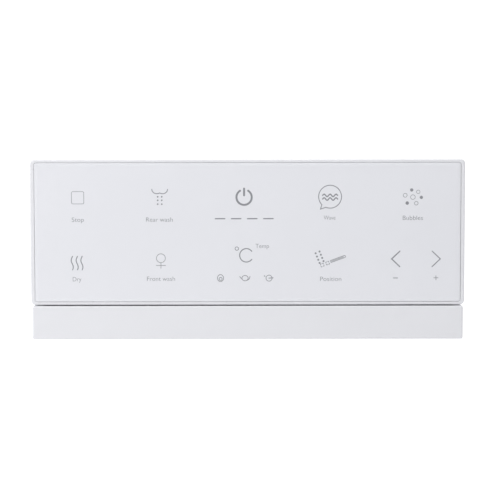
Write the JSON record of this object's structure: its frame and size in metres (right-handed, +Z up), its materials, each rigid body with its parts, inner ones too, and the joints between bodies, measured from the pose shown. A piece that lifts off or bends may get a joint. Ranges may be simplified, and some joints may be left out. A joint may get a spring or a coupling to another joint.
{
  "type": "bidet seat wall remote control with holder",
  "caption": "Slim touch remote control for an electric bidet seat, with a printed glass front, standing in a wall holder.",
  "frame": {"origin": "midway between the holder's two screw holes, on the wall face of the back plate", "axes": "+Z up, +X to the right of someone facing the glass, +Y out of the back of the holder into the wall; the glass faces -Y"},
  "size_m": [0.216, 0.0268, 0.0895],
  "materials": {
    "printed_glass": "polished safety glass, back-printed opaque white",
    "frame_plastic": "satin gloss white ABS",
    "strip_plastic": "satin gloss white ABS",
    "holder_plastic": "fine-textured white ABS",
    "housing_plastic": "fine-textured white ABS",
    "tape_liner": "foam tape under a printed paper liner",
    "soft_rubber": "matt grey silicone",
    "black_tape": "matt black acrylic foam tape",
    "conductive_foam": "matt black conductive foam",
    "clear_plastic": "frosted clear acrylic",
    "led_resin": "clear resin over a yellow phosphor",
    "board": "green solder resist on glass-epoxy",
    "chip": "matt black epoxy",
    "tinned_steel": "tin-plated sheet steel",
    "capacitor_ceramic": "fired ceramic with tinned ends",
    "battery_wrap": "shrunk plastic sleeve over steel can",
    "nickel_plate": "bright nickel plate on spring steel",
    "screw_steel": "zinc-plated steel",
    "door_foam": "soft grey foam"
  },
  "bodies": {
    "dock": {"dock_base": "holder_plastic", "dock_strip": "strip_plastic", "wall_tape_pads": "tape_liner", "rest_pads": "soft_rubber"},
    "remote": {"front_glass": "printed_glass", "glass_tape": "black_tape", "front_frame": "frame_plastic", "touch_pads": "conductive_foam", "light_guides": "clear_plastic", "indicator_leds": "led_resin", "circuit_board": "board", "main_chip": "chip", "touch_chip": "chip", "radio_module": "board", "radio_shield": "tinned_steel", "board_capacitors": "capacitor_ceramic", "battery_1": "battery_wrap", "battery_2": "battery_wrap", "minus_contact": "nickel_plate", "plus_contact": "nickel_plate", "bridge_contact": "nickel_plate", "battery_springs": "nickel_plate", "rear_housing": "housing_plastic", "housing_seal": "soft_rubber", "housing_screws": "screw_steel", "screw_plugs": "soft_rubber"},
    "battery_door": {"battery_door": "housing_plastic", "battery_foam": "door_foam"}
  },
  "joints": [
    {"name": "remote_lift", "type": "slide", "parent": "dock", "child": "remote", "axis": [0, 0, 1], "range_m": [0, 0.1]},
    {"name": "battery_door_slide", "type": "slide", "parent": "remote", "child": "battery_door", "axis": [1, 0, 0], "range_m": [0, 0.065]}
  ]
}
